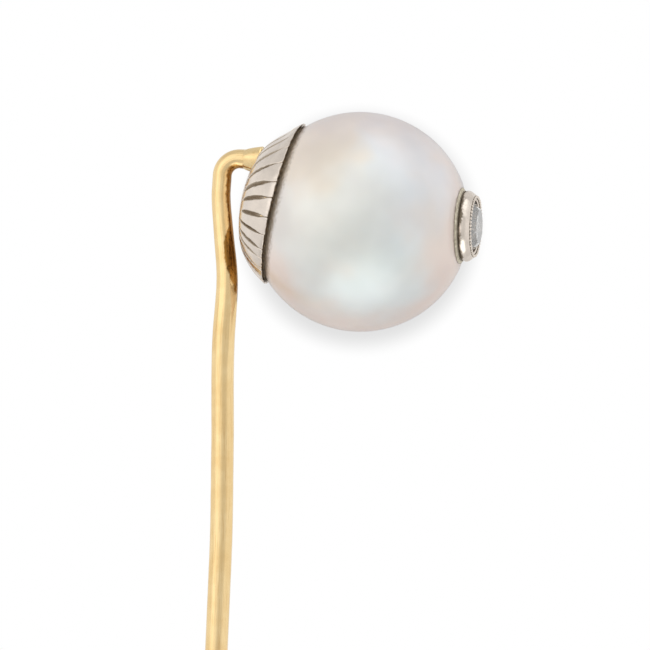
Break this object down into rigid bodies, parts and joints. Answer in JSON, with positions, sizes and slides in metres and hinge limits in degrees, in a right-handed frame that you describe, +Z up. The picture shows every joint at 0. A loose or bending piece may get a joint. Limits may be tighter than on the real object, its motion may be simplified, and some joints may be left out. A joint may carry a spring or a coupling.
{
  "type": "hat pin",
  "caption": "Bent-neck stick pin with a round pearl held in a fluted cap, and a small round stone in a beaded collet opposite.",
  "frame": {"origin": "on the axis of the straight shank, at its top, where the neck begins to sway", "axes": "+Z up along the shank towards the bent neck, +X towards the stone, and -X towards the cap's back"},
  "size_m": [0.012, 0.0096, 0.0668],
  "materials": {
    "gold": "worn polished yellow gold",
    "solder": "smooth pale gold solder",
    "white_metal": "worn polished platinum",
    "pearl": "lustrous nacre",
    "cement": "aged jeweller's cement",
    "diamond": "polished facets"
  },
  "bodies": {
    "root": {"stem": "gold", "stem_solder": "solder", "cap_shell": "white_metal", "cap_lining": "gold", "cap_peg": "gold", "cap_cement": "cement", "pearl": "pearl", "collet_cement": "cement", "collet_peg": "gold", "collet_bearer": "white_metal", "collet_flange": "white_metal", "collet_bezel": "white_metal", "diamond": "diamond"}
  },
  "joints": []
}
